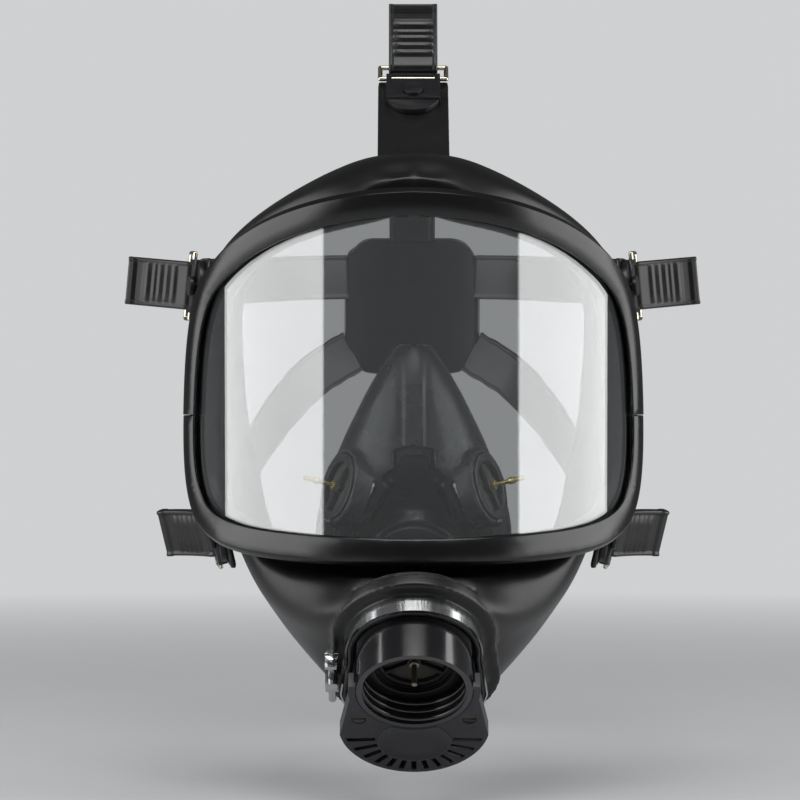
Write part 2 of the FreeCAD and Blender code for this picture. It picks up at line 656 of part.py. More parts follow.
def on_check(shape, side):
    """Places a shape made about local z on a check valve's axis, z pointing out of the cup."""
    moved = shape.copy()
    centre = V(side * CHECK_X, CHECK_Y, CHECK_Z)
    moved.Placement = FreeCAD.Placement(centre, FreeCAD.Rotation(Z_AXIS, check_axis(side)))
    return moved


def nose_cup():
    shell = nose_solid(0).cut(nose_solid(NOSE_T))
    shell = shell.cut(on_facet(cylinder(SPEECH_R + FIT, -9, 9)))
    spout = tube(SPOUT_R + NOSE_T, SPOUT_R, SPOUT_LOW, SPOUT_HIGH, 0, EXHALE_Y)
    shell = shell.cut(placed(cylinder(SPOUT_R, SPOUT_LOW - 4, SPOUT_HIGH, 0, EXHALE_Y)))
    for side in (-1, 1):
        port = CHECK_R + 2 + FIT
        well = on_check(cylinder(port + NOSE_T, -CHECK_WELL, 12), side).common(nose_solid(0))
        shell = shell.fuse(well).cut(on_check(cylinder(port, -9, 12), side))
    shell = max(shell.Solids, key=lambda solid: solid.Volume)
    return [shell.fuse(placed(spout).cut(nose_solid(NOSE_T)))]


def nose_valve_seat(side):
    """Ring with a bar and a hub across the cup's side port."""
    ring = tube(CHECK_R + 2, CHECK_R - 1, 0, 2.4)
    bar = Part.makeBox(2 * CHECK_R - 1, 2, 2.4, V(-CHECK_R + 0.5, -1, 0))
    seat = ring.fuse([bar, cylinder(2.4, 0, 2.4)])
    return on_check(seat.cut(cylinder(CHECK_PIN_R + FIT, -1, 4)), side)


def nose_valve_disc(side):
    return on_check(tube(CHECK_R, CHECK_PIN_R + RUN_CLEAR, -0.7 - FIT, -FIT), side)


def nose_valve_pin(side):
    head = -0.7 - CHECK_TRAVEL - 3 * FIT
    shank = cylinder(CHECK_PIN_R, head - 0.8, 2.4 + CHECK_PIN_L)
    collar = cylinder(1.7, 2.4 + FIT, 4.2)
    bead = cylinder(1.35, 2.4 + 0.55 * CHECK_PIN_L, 2.4 + 0.7 * CHECK_PIN_L)
    return on_check(shank.fuse([collar, bead, cylinder(1.8, head - 0.8, head)]), side)


def speech_ring():
    ring = tube(SPEECH_R + 2.5, SPEECH_R - 2.5, 0.1, 2.6).fuse(tube(SPEECH_R, SPEECH_R - 1.5, -3.4, 2.6))
    return on_facet(ring)


def speech_diaphragm():
    return on_facet(cylinder(SPEECH_R - 1.5 - FIT, -1.4, -1.0))


# Buckles: lug's root on the blank, direction of its strap, outward normal, lug's length and width
BUCKLES = {
    "crown": (V(0, -55, 92.5), V(0, 0.77, 0.64), V(0, -0.64, 0.77), 60.0, 29.0),
    "temple_left": (V(-84.5, -17, 46), V(-0.26, 0.96, 0.05), V(-0.95, -0.28, 0.08), 18.0, 24.0),
    "temple_right": (V(84.5, -17, 46), V(0.26, 0.96, 0.05), V(0.95, -0.28, 0.08), 18.0, 24.0),
    "cheek_left": (V(-76, -30, -57), V(-0.20, 0.96, 0.14), V(-0.90, -0.20, -0.24), 18.0, 24.0),
    "cheek_right": (V(76, -30, -57), V(0.20, 0.96, 0.14), V(0.90, -0.20, -0.24), 18.0, 24.0),
}
LUG_T = 2.4
BASE_W = 22.0
BASE_L = 24.0             # and no longer than its lug less a margin
BASE_MARGIN = 1.0
CHANNEL_FRONT = 1.9       # open channel over the hinge bar: its start before the bar
CHANNEL_EYE = 2.2         # width of the eye left at each end of the channel
BASE_T = 3.6
WIRE_R = 0.95
WIRE_W = BASE_W + 5.0     # between the centres of the loop's two sides
WIRE_L = 8.0              # between the hinge bar and the strap bar
HINGE_LIFT = 2.4          # hinge bar's height over the lug
STRAP_W = 20.0
STRAP_T = 2.0
TAIL_L = 26.0
TAIL_TURN = {
    "crown": 28.0, "temple_left": 46.0, "temple_right": 44.0, "cheek_left": 26.0, "cheek_right": 26.0,
}
STRAP_GAP = 3.0           # strap bar to the end of the main strap
RIVET_R = 2.0
RIVET_HEAD_R = 4.0


def buckle_placed(shape, place):
    """Moves a buckle piece: local x across the strap, y along it to the back, z outwards."""
    origin, along, out, _, _ = place
    y = V(along).normalize()
    x = y.cross(out).normalize()
    z = x.cross(y)
    rows = (x.x, y.x, z.x, origin.x, x.y, y.y, z.y, origin.y, x.z, y.z, z.z, origin.z, 0, 0, 0, 1)
    moved = shape.copy()
    moved.transformShape(FreeCAD.Matrix(*rows))
    return moved


def lug(place):
    """Flat rubber tongue of the blank that carries a buckle."""
    width, length = place[4], place[3]
    tongue = Part.makeBox(width, length, LUG_T, V(-width / 2, 0, -LUG_T))
    return tongue.cut(Part.makeCylinder(RIVET_R, 3 * LUG_T, V(0, rivet_y(place), -2 * LUG_T)))


def base_length(place):
    return min(BASE_L, place[3] - BASE_MARGIN)


def buckle_base(place):
    """Plate with a rounded root end and a cross bore for the hinge bar, open over the bar's middle."""
    length, base = place[3], base_length(place)
    straight = base - BASE_W / 3
    plate = Part.makeBox(BASE_W, straight, BASE_T, V(-BASE_W / 2, length - straight, FIT))
    nose = Part.makeCylinder(BASE_W / 2, BASE_T - 1.2, V(0, length - base + BASE_W / 2, FIT))
    front = Part.makeBox(BASE_W, base, BASE_T, V(-BASE_W / 2, length - base, FIT))
    body = plate.fuse(nose.common(front))
    bore = Part.makeCylinder(WIRE_R + RUN_CLEAR, 2 * BASE_W, V(-BASE_W, hinge_y(place), HINGE_LIFT), X_AXIS)
    open_w = BASE_W - 2 * CHANNEL_EYE
    corner = V(-open_w / 2, hinge_y(place) - CHANNEL_FRONT, HINGE_LIFT)
    channel = Part.makeBox(open_w, BASE_L, BASE_T, corner)
    hole = Part.makeCylinder(RIVET_R, 3 * BASE_T, V(0, rivet_y(place), -BASE_T))
    return buckle_placed(body.cut([bore, channel, hole]), place)


def rivet_y(place):
    return place[3] - base_length(place) / 2


def hinge_y(place):
    return place[3] - 2.0


def wire_loop(place):
    """Closed rectangle of round wire with mitred round corners."""
    y = hinge_y(place)
    half = WIRE_W / 2
    turns = ((-half, 0), (half, 0), (half, WIRE_L), (-half, WIRE_L))
    corners = [V(x, y + step, HINGE_LIFT) for x, step in turns]
    loop = None
    for a, b in zip(corners, corners[1:] + corners[:1]):
        bar = Part.makeCylinder(WIRE_R, (b - a).Length, a, b - a)
        ball = Part.makeSphere(WIRE_R, b)
        loop = bar.fuse(ball) if loop is None else loop.fuse([bar, ball])
    return buckle_placed(loop, place)


def strap_tail(name, place):
    """Strap end that lies over the strap bar and stands off the strap, with a short fold under the bar."""
    bar_y = hinge_y(place) + WIRE_L
    grip = WIRE_R + STRAP_T
    fold = Part.makeCylinder(grip, STRAP_W, V(-STRAP_W / 2, bar_y, HINGE_LIFT), X_AXIS)
    tongue = Part.makeBox(STRAP_W, TAIL_L, STRAP_T, V(-STRAP_W / 2, 0, WIRE_R))
    tongue.rotate(V(0, 0, 0), X_AXIS, TAIL_TURN[name])
    tongue.translate(V(0, bar_y, HINGE_LIFT))
    hole = Part.makeCylinder(WIRE_R + 0.02, 2 * STRAP_W, V(-STRAP_W, bar_y, HINGE_LIFT), X_AXIS)
    return buckle_placed(fold.fuse(tongue).cut(hole), place)


def rivet(place):
    y = rivet_y(place)
    shank = Part.makeCylinder(RIVET_R - FIT, LUG_T + BASE_T + 3 * FIT, V(0, y, -LUG_T - FIT))
    head = Part.makeCylinder(RIVET_HEAD_R, 1.4, V(0, y, BASE_T + 2 * FIT))
    clench = Part.makeCylinder(RIVET_HEAD_R - 1, 0.8, V(0, y, -LUG_T - FIT - 0.8))
    return buckle_placed(shank.fuse([head, clench]), place)


PARTS = {}


def save(name, solids):
    """Writes the closed solids of one node to its own file."""
    shape = solids[0] if len(solids) == 1 else Part.makeCompound(solids)
    for solid in shape.Solids:
        if not solid.isValid() or solid.Volume <= 0:
            print("BAD SOLID", name, solid.isValid(), round(solid.Volume, 2))
    PARTS[name] = shape
    shape.exportStep("parts/" + name + ".step")


# Harness: a curved pad behind the head and the five straps, each by the points of its centre line
PAD_AXIS_Y = 43.0
PAD_R = 98.0
PAD_T = 2.4
PAD_W = 62.0
PAD_LOW = 12.0
PAD_HIGH = 74.0
PAD_CORNER = 14.0
HARNESS_T = 2.2
STRAP_LINES = {
    "crown": (V(0, 20, 145), V(0, 48, 147), V(0, 90, 133), V(0, 124, 105), V(0, 140, 73)),
    "temple_left": (V(-89, 22, 49), V(-82, 55, 51), V(-68, 92, 53), V(-49, 121, 55), V(-30, 136.8, 56)),
    "cheek_left": (V(-76, 16, -50), V(-74, 50, -34), V(-64, 88, -12), V(-47, 120, 9), V(-28, 137.8, 22)),
}


def harness_pad():
    """Curved rubber plate with rounded corners."""
    sheet = Part.makeCylinder(PAD_R + PAD_T, PAD_HIGH - PAD_LOW, V(0, PAD_AXIS_Y, PAD_LOW))
    sheet = sheet.cut(Part.makeCylinder(PAD_R, PAD_HIGH - PAD_LOW, V(0, PAD_AXIS_Y, PAD_LOW)))
    block = Part.makeBox(PAD_W, 2 * PAD_R, PAD_HIGH - PAD_LOW, V(-PAD_W / 2, PAD_AXIS_Y, PAD_LOW))
    upright = [e for e in block.Edges if abs(e.Vertexes[0].Point.x - e.Vertexes[1].Point.x) < 1e-6
               and abs(e.Vertexes[0].Point.z - e.Vertexes[1].Point.z) < 1e-6]
    return sheet.common(block.makeFillet(PAD_CORNER, upright))


def strap(place, line):
    """Flat strap lofted along its centre line from the strap bar, its face turned away from the head."""
    origin, along, out, length, _ = place
    y = V(along).normalize()
    start = Part.Vertex(V(0, hinge_y(place) + WIRE_L + WIRE_R + STRAP_T + STRAP_GAP, HINGE_LIFT))
    start = buckle_placed(start, place).Point
    curve = Part.BSplineCurve()
    curve.interpolate([start, start + y * 4] + list(line))
    sections = []
    count = 14
    for i in range(count):
        u = curve.FirstParameter + (curve.LastParameter - curve.FirstParameter) * i / (count - 1)
        point = curve.value(u)
        tangent = curve.tangent(u)[0]
        away = V(point.x, point.y - PAD_AXIS_Y, max(0, point.z - 2 * FACE_AXIS_Z) if abs(point.x) < 1 else 0)
        share = min(1.0, i / 5.0)
        away = V(out).normalize() * (1 - share) + away.normalize() * share
        side = tangent.cross(away).normalize() * (STRAP_W / 2)
        face = side.cross(tangent).normalize() * (HARNESS_T / 2)
        low, high = point - face, point + face
        sections.append(closed_wire([low - side, low + side, high + side, high - side]))
    solid = Part.makeLoft(sections, True, False)
    if solid.Volume < 0:
        solid.reverse()
    return solid


def strap_line(name):
    if name.endswith("right"):
        return [V(-p.x, p.y, p.z) for p in STRAP_LINES[name.replace("right", "left")]]
    return STRAP_LINES[name]


def main():
    os.makedirs("parts", exist_ok=True)
    halves = blank_halves()
    save("face_blank", halves)
    save("face_blank_sleeve", [blank_sleeve()])
    save("face_blank_lugs", blank_lugs(halves))
    save("visor", [visor()])
    upper, lower = frame_halves()
    save("upper_frame", upper)
    save("lower_frame", lower)
    save("nose_cup", nose_cup())
    for side, name in ((-1, "left"), (1, "right")):
        save("nose_valve_seat_" + name, [nose_valve_seat(side)])
        save("nose_valve_disc_" + name, [nose_valve_disc(side)])
        save("nose_valve_pin_" + name, [nose_valve_pin(side)])
    save("speech_ring", [speech_ring()])
    save("speech_diaphragm", [speech_diaphragm()])
    save("connector_housing", [placed(connector_housing())])
    save("connector_gasket", [placed(tube(THREAD_R - FIT, INHALE_R + 1, -THREAD_L, -THREAD_L + GASKET_T))])
    save("inhalation_seat", [placed(inhalation_seat())])
    save("inhalation_disc", [placed(inhalation_disc())])
    save("inhalation_pin", [placed(inhalation_pin())])
    save("exhalation_seat", [placed(exhalation_seat())])
    save("exhalation_disc", [placed(exhalation_disc())])
    save("exhalation_spring", [placed(exhalation_spring())])
    save("exhalation_cover", [placed(exhalation_cover())])
    save("cover_screws", cover_screws())
    save("clamp_band", [placed(clamp_band())])
    save("clamp_screw", [placed(clamp_screw())])
    save("clamp_nut", [placed(clamp_nut())])
    for name, place in BUCKLES.items():
        save("buckle_base_" + name, [buckle_base(place)])
        save("wire_loop_" + name, [wire_loop(place)])
        save("strap_tail_" + name, [strap_tail(name, place)])
    pad = harness_pad()
    save("harness_pad", [pad])
    for name, place in BUCKLES.items():
        save("harness_strap_" + name, [strap(place, strap_line(name)).cut(pad)])
    save("frame_screws", frame_screws())
    save("frame_nuts", frame_nuts())
    save("buckle_rivets", [rivet(place) for place in BUCKLES.values()])


main()
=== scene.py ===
import json
import math

import bmesh
import bpy
import numpy as np
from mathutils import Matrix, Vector


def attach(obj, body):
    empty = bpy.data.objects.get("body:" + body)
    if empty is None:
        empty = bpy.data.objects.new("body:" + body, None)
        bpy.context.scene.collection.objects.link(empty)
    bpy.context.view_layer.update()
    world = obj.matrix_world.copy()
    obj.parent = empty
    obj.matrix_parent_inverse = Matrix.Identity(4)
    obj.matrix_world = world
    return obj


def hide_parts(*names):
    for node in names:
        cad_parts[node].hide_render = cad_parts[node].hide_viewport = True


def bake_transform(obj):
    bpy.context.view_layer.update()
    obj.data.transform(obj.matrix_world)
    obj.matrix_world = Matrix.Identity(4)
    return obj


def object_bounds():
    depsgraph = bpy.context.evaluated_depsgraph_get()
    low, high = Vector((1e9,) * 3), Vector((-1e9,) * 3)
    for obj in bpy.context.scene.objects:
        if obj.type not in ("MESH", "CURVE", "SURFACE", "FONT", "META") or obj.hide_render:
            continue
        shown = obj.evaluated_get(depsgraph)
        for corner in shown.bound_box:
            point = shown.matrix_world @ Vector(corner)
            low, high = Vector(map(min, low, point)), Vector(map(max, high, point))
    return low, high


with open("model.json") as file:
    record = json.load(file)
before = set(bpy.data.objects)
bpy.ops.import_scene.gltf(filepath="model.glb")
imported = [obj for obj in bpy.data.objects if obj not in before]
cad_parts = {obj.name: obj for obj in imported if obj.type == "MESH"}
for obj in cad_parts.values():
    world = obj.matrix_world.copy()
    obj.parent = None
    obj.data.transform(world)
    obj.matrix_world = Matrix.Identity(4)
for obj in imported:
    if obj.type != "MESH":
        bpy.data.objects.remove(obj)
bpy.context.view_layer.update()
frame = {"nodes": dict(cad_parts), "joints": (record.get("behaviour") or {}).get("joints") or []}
MM = 0.001


# ---- Face blank ----
# One moulding of black natural-rubber compound: a channel that grips the visor's edge, a rolled
# forehead and cheek seal, a chin bowl, five lugs for the buckles and the sleeve with its thick
# bead that the connector is clamped in. It is moulded in one piece and pulled over the visor.

def linear(hexes):
    """Linear RGBA of an sRGB colour written as six hex digits."""
    shares = [int(hexes[i:i + 2], 16) / 255 for i in (0, 2, 4)]
    return [s / 12.92 if s <= 0.04045 else ((s + 0.055) / 1.055) ** 2.4 for s in shares] + [1.0]


def add(tree, kind, settings=None, links=None):
    """One shader node with its settings, sockets' values among them, and the links into it."""
    made = tree.nodes.new(kind)
    for name, value in (settings or {}).items():
        if isinstance(name, str) and hasattr(made, name):
            setattr(made, name, value)
        else:
            made.inputs[name].default_value = value
    for name, source in (links or {}).items():
        tree.links.new(source, made.inputs[name])
    return made


def per(size_mm):
    """Texture scale at which a pattern repeats every so many millimetres."""
    return 1000.0 / size_mm


def moulded(name, colours, grain_mm, relief_mm, rough, wear=0.0, patch_mm=30.0, shader=None):
    """Moulded surface: the mould's grain as relief, slow changes of gloss, and rubbed paler edges."""
    material = bpy.data.materials.new(name)
    material.use_nodes = True
    tree = material.node_tree
    tree.nodes.clear()
    place = add(tree, "ShaderNodeTexCoord").outputs["Object"]
    grain = add(tree, "ShaderNodeTexNoise", {"Scale": per(grain_mm), "Detail": 3.0, "Roughness": 0.6},
                {"Vector": place})
    patch = add(tree, "ShaderNodeTexNoise", {"Scale": per(patch_mm), "Detail": 5.0, "Roughness": 0.65},
                {"Vector": place})
    colour = add(tree, "ShaderNodeMix", {"data_type": "RGBA", 6: linear(colours[0]), 7: linear(colours[1])},
                 {0: patch.outputs["Fac"]})
    edges = add(tree, "ShaderNodeNewGeometry").outputs["Pointiness"]
    rubbed = add(tree, "ShaderNodeMapRange",
                 {"From Min": 0.52, "From Max": 0.62, "To Min": 0.0, "To Max": wear}, {"Value": edges})
    worn = add(tree, "ShaderNodeMix", {"data_type": "RGBA", 7: linear(colours[2])},
               {0: rubbed.outputs[0], 6: colour.outputs[2]})
    gloss = add(tree, "ShaderNodeMapRange",
                {"From Min": 0.3, "From Max": 0.7, "To Min": rough[0], "To Max": rough[1]},
                {"Value": patch.outputs["Fac"]})
    bump = add(tree, "ShaderNodeBump", {"Strength": 1.0, "Distance": relief_mm * MM},
               {"Height": grain.outputs["Fac"]})
    surface = add(tree, "ShaderNodeBsdfPrincipled", shader or {},
                  {"Base Color": worn.outputs[2], "Roughness": gloss.outputs[0],
                   "Normal": bump.outputs["Normal"]})
    add(tree, "ShaderNodeOutputMaterial", None, {"Surface": surface.outputs[0]})
    return material


def finish(material, *pieces):
    """Gives pieces or CAD nodes this material alone, and shades them smooth."""
    for piece in pieces:
        piece = frame["nodes"][piece] if isinstance(piece, str) else piece
        piece.data.materials.clear()
        piece.data.materials.append(material)
        piece.data.polygons.foreach_set("use_smooth", [True] * len(piece.data.polygons))


def baked(piece):
    """Applies a piece's modifiers to its mesh."""
    shape = piece.evaluated_get(bpy.context.evaluated_depsgraph_get())
    mesh = bpy.data.meshes.new_from_object(shape)
    piece.modifiers.clear()
    piece.data = mesh
    return piece


def swept(path, section):
    """A closed section of (outward, upward) points carried round a closed path, as points and faces."""
    verts, faces = [], []
    size = len(section)
    for i, (point, outward, upward) in enumerate(path):
        verts += [(point + outward * u + upward * v) * MM for u, v in section]
        here, there = i * size, (i + 1) % len(path) * size
        for k in range(size):
            n = (k + 1) % size
            faces.append((here + k, there + k, there + n, here + n))
    return verts, faces


def round_section(radius, sides=16):
    """A circle of this radius as (outward, upward) points."""
    turns = [math.tau * k / sides for k in range(sides)]
    return [(radius * math.cos(t), radius * math.sin(t)) for t in turns]


def softened(name, nodes, voxel_mm, rounds, beads=()):
    """One new piece in the space of CAD soft solids, with its corners rounded as a mould rounds rubber."""
    solid = bmesh.new()
    for node in nodes:
        solid.from_mesh(frame["nodes"][node].data)
    for verts, faces in beads:
        made = [solid.verts.new(v) for v in verts]
        for face in faces:
            solid.faces.new([made[i] for i in face])
    mesh = bpy.data.meshes.new(name)
    solid.to_mesh(mesh)
    solid.free()
    piece = bpy.data.objects.new(name, mesh)
    bpy.context.scene.collection.objects.link(piece)
    skin = piece.modifiers.new("skin", "REMESH")
    skin.mode = "VOXEL"
    skin.voxel_size = voxel_mm * MM
    soft = piece.modifiers.new("rounding", "SMOOTH")
    soft.factor = 0.5
    soft.iterations = rounds
    return baked(piece)


def points_of(piece):
    """The vertices' places and normals, in millimetres."""
    count = len(piece.data.vertices)
    places, normals = np.empty(count * 3), np.empty(count * 3)
    piece.data.vertices.foreach_get("co", places)
    piece.data.vertices.foreach_get("normal", normals)
    return places.reshape(-1, 3) / MM, normals.reshape(-1, 3)


def move(piece, places):
    """Sets the vertices' places, given in millimetres."""
    piece.data.vertices.foreach_set("co", (places * MM).ravel())
    piece.data.update()


# natural rubber from a smooth mould: near black, with a soft satin shine and greyer rubbed edges
moulded_rubber = moulded("moulded_natural_rubber", ("090909", "0f0f10", "1e1e20"), 0.35, 0.03, (0.30, 0.40),
                         wear=0.4, shader={"IOR": 1.52, "Specular IOR Level": 0.42})
MOUTH = np.array([0.0, -117.0, -110.0])
TILT = math.radians(47.0)
CONE_OUT = np.array([0.0, -math.cos(TILT), -math.sin(TILT)])     # out of the connector's mouth
CONE_UP = np.array([0.0, -math.sin(TILT), math.cos(TILT)])
SIDE = np.array([1.0, 0.0, 0.0])
NECK_TOP_R = 23.0    # the sleeve's D outline: two circles joined by tangents
NECK_LOW_R = 25.5
NECK_DROP = 21.5
ROUND_STEPS = 96     # points round a closed outline


def neck_path(grow, depth):
    """The sleeve's outline, grown and set back behind the mouth: (point, outward, upward) all round."""
    path = []
    lean = math.degrees(math.asin((NECK_TOP_R - NECK_LOW_R) / NECK_DROP))
    for i in range(ROUND_STEPS):
        turn = 360.0 * i / ROUND_STEPS
        upper = lean <= turn <= 180 - lean or turn > 360 + lean
        spoke = SIDE * math.cos(math.radians(turn)) + CONE_UP * math.sin(math.radians(turn))
        centre = MOUTH - (0 if upper else NECK_DROP) * CONE_UP
        radius = (NECK_TOP_R if upper else NECK_LOW_R) + grow
        path.append((centre + spoke * radius - CONE_OUT * depth, spoke, CONE_OUT))
    return path


BEADS = ((5.4, 29.0, 3.1), (3.6, 32.6, 3.4))      # growth, depth and radius of the sleeve's rolled beads
beads = [swept(neck_path(grow, depth), round_section(radius)) for grow, depth, radius in BEADS]
BLANK_NODES = ("face_blank", "face_blank_sleeve", "face_blank_lugs")
blank = softened("rubber_face_blank", BLANK_NODES, 1.0, 3, beads)
finish(moulded_rubber, blank)
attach(blank, "root")
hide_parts(*BLANK_NODES)


# ---- Nose cup ----
# Inner half-mask of grey-black silicone rubber that stops the visor misting. It is moulded with a
# flat ridge down its nose and a rolled rim round the front facet, and hangs on the exhalation port.

FACET_TOP = np.array([0.0, -81.5, -29.0])
FACET_LEAN = math.radians(23.6)
FACET_OUT = np.array([0.0, -math.cos(FACET_LEAN), -math.sin(FACET_LEAN)])
FACET_DOWN = np.array([0.0, math.sin(FACET_LEAN), -math.cos(FACET_LEAN)])
FACET_LONG = 75
RIM_W = 3.2          # width and height of the rolled rim round the facet
RIM_H = 0.9
RIM_TOP = FACET_TOP[2] + 4.0    # the rim dies out up to here
RIM_FADE = 3.0
SUNK = 5.0           # depth of the facet inside its rim
SUNK_RIM = 3.0       # width left level inside the facet's edge
SUNK_SLOPE = 3.0
SPEECH_DROP = 38.0   # the speech ring's centre, down the facet
SPEECH_CLEAR = 17.5  # radius left level round the speech ring
SPEECH_SLOPE = 4.0
CUP_MIDDLE_Y = -50.0
RIDGE_HALF = 5.0     # centre line to each crease of the nose ridge
RIDGE_LOW, RIDGE_HIGH = -30.0, 18.0
CREASE_W = 1.1
CREASE_DEPTH = 0.7

CHECK_AT = np.array([28.0, -71.5, -34.0])      # a check valve's seat: its centre, lean and rise
CHECK_LEAN, CHECK_RISE = math.radians(26.0), math.radians(14.0)
COLLAR = ((13.2, -6.0), (15.2, -6.0), (15.2, 1.4), (14.6, 2.0), (13.8, 2.0), (13.2, 1.4))


def collar(side):
    """The round wall that the cup holds a check valve's seat in."""
    flat = math.cos(CHECK_RISE)
    axis = np.array([side * math.cos(CHECK_LEAN) * flat, -math.sin(CHECK_LEAN) * flat, math.sin(CHECK_RISE)])
    level = np.cross(axis, (0.0, 0.0, 1.0))
    level /= np.linalg.norm(level)
    upright = np.cross(level, axis)
    turns = [math.tau * i / ROUND_STEPS for i in range(ROUND_STEPS)]
    centre = CHECK_AT * (side, 1, 1)
    return swept([(centre, level * math.cos(t) + upright * math.sin(t), axis) for t in turns], COLLAR)


cup = softened("silicone_nose_cup", ["nose_cup"], 0.8, 6, (collar(-1), collar(1)))
places, normals = points_of(cup)
off_middle = np.abs(places[:, 0])
inwards = -(places - FACET_TOP) @ FACET_OUT
down = (places - FACET_TOP) @ FACET_DOWN
outer = (normals[:, 0] * places[:, 0] + normals[:, 1] * (places[:, 1] - CUP_MIDDLE_Y)) > 0

# the rolled rim on the outer wall beside the facet
rim = np.sin(np.pi * np.clip(inwards / RIM_W, 0, 1))
rim = np.where(outer & (inwards > 0) & (inwards < RIM_W), rim, 0)
rim *= np.clip((RIM_TOP - places[:, 2]) / RIM_FADE, 0, 1)

# the facet inside the rim is sunk, and comes back level round the speech ring
flat = (np.abs(inwards) < 0.8) & (normals @ FACET_OUT > 0.8)
steps = np.arange(-2, FACET_LONG)
half = np.array([off_middle[flat & (np.abs(down - d) < 1.0)].max(initial=0.0) for d in steps])
margin = np.interp(down, steps, half) - off_middle
to_ring = np.hypot(off_middle, down - SPEECH_DROP) - SPEECH_CLEAR
sunk = np.clip((margin - SUNK_RIM) / SUNK_SLOPE, 0, 1) * np.clip(to_ring / SPEECH_SLOPE, 0, 1)
sunk *= (inwards > -0.8) & (inwards < 4.0)
sunk = sunk * sunk * (3 - 2 * sunk)

# two creases bound the flat ridge down the nose
ridge = np.exp(-((off_middle - RIDGE_HALF) / CREASE_W) ** 2) * (normals[:, 1] < -0.3) * outer
fade = np.clip((places[:, 2] - RIDGE_LOW) / 8.0, 0, 1) * np.clip((RIDGE_HIGH - places[:, 2]) / 12.0, 0, 1)
places += normals * (RIM_H * rim * (sunk < 0.01) - CREASE_DEPTH * ridge * fade)[:, None]
places -= FACET_OUT * (SUNK * sunk)[:, None]
move(cup, places)
# painted shade: this mask, kept as the point attribute sunk, picks the facet inside the rim and its sunk
# part, which are painted dark as the recess's shadow
painted_facet_shade = np.clip(margin / 2.0 - 0.5, 0, 1) * (np.abs(inwards) < 0.9) * (down > 0) + (sunk > 0.02)
painted_shade_attribute = cup.data.attributes.new("sunk", "FLOAT", "POINT")
painted_shade_attribute.data.foreach_set("value", painted_facet_shade)

# silicone from a polished mould: dark neutral grey with a clear satin shine
silicone = moulded("satin_moulded_silicone_painted_facet_shade", ("1e1e1f", "28282a", "464648"), 0.5, 0.02, (0.24, 0.32),
                   wear=0.6, shader={"IOR": 1.42})
# painted shade: the sunk facet is painted near black, standing in for the shadow in its recess
tree = silicone.node_tree
surface = next(n for n in tree.nodes if n.type == "BSDF_PRINCIPLED")
facet_shade_paint = add(tree, "ShaderNodeAttribute", {"attribute_name": "sunk"})
colour = add(tree, "ShaderNodeMix", {"data_type": "RGBA", 7: linear("060607")},
             {0: facet_shade_paint.outputs["Fac"], 6: surface.inputs["Base Color"].links[0].from_socket})
tree.links.new(colour.outputs[2], surface.inputs["Base Color"])
finish(silicone, cup)
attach(cup, "root")
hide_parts("nose_cup")


# ---- Nose-cup check valves and speech diaphragm ----
# Black nylon seats snapped into the cup's side ports, thin silicone discs behind them and turned
# brass pins through both. The speech ring holds a stretched film in the front facet.

def edged(node, width_mm, steps=3, angle=35.0):
    """Rounds a CAD piece's sharp edges as its mould or tool leaves them."""
    piece = frame["nodes"][node]
    weld = piece.modifiers.new("weld", "WELD")
    weld.merge_threshold = 0.005 * MM
    bevel = piece.modifiers.new("edges", "BEVEL")
    bevel.width = width_mm * MM
    bevel.segments = steps
    bevel.limit_method = "ANGLE"
    bevel.angle_limit = math.radians(angle)
    bevel.harden_normals = True
    bevel.use_clamp_overlap = True
    return piece


# moulded nylon with glass fibre: very dark grey, faintly rough
nylon = moulded("glass_filled_nylon", ("111113", "18181a", "39393c"), 0.3, 0.03, (0.3, 0.42), wear=0.5,
                shader={"IOR": 1.53})
# thin moulded silicone: smoky, and it lets a little light in
disc_silicone = moulded("translucent_silicone", ("3a3733", "47433d", "5a554d"), 0.6, 0.01, (0.35, 0.5),
                        shader={"IOR": 1.42, "Subsurface Weight": 0.3, "Subsurface Scale": 0.002})


def metal(name, colours, streak_mm, rough, along=(1.0, 1.0, 0.05)):
    """Polished or turned metal: fine drawn streaks in its gloss and slight tarnish in its colour."""
    material = bpy.data.materials.new(name)
    material.use_nodes = True
    tree = material.node_tree
    tree.nodes.clear()
    place = add(tree, "ShaderNodeTexCoord").outputs["Object"]
    drawn = add(tree, "ShaderNodeMapping", {"Scale": along}, {"Vector": place})
    streak = add(tree, "ShaderNodeTexNoise", {"Scale": per(streak_mm), "Detail": 3.0},
                 {"Vector": drawn.outputs[0]})
    stain = add(tree, "ShaderNodeTexNoise", {"Scale": per(6.0), "Detail": 4.0}, {"Vector": place})
    colour = add(tree, "ShaderNodeMix", {"data_type": "RGBA", 6: linear(colours[0]), 7: linear(colours[1])},
                 {0: stain.outputs["Fac"]})
    gloss = add(tree, "ShaderNodeMapRange",
                {"From Min": 0.3, "From Max": 0.7, "To Min": rough[0], "To Max": rough[1]},
                {"Value": streak.outputs["Fac"]})
    bump = add(tree, "ShaderNodeBump", {"Strength": 0.5, "Distance": 0.01 * MM},
               {"Height": streak.outputs["Fac"]})
    surface = add(tree, "ShaderNodeBsdfPrincipled", {"Metallic": 1.0},
                  {"Base Color": colour.outputs[2], "Roughness": gloss.outputs[0],
                   "Normal": bump.outputs["Normal"]})
    add(tree, "ShaderNodeOutputMaterial", None, {"Surface": surface.outputs[0]})
    return material


# brass off the lathe: pale yellow with rings of finer and coarser gloss
turned_brass = metal("turned_brass", ("d8c58a", "c4ac6c"), 0.4, (0.22, 0.38), (0.05, 1.0, 1.0))
for side in ("left", "right"):
    finish(nylon, "nose_valve_seat_" + side)
    edged("nose_valve_seat_" + side, 0.3)
    finish(disc_silicone, "nose_valve_disc_" + side)
    finish(turned_brass, "nose_valve_pin_" + side)
    edged("nose_valve_pin_" + side, 0.25)
finish(nylon, "speech_ring")
edged("speech_ring", 0.4)
finish(disc_silicone, "speech_diaphragm")


# ---- Visor ----
# Panoramic lens of clear polycarbonate, bent to a cylinder and hard-coated. It bends light like a
# thin pane, mirrors softly at its two faces, and shows fine wiping marks in its gloss.

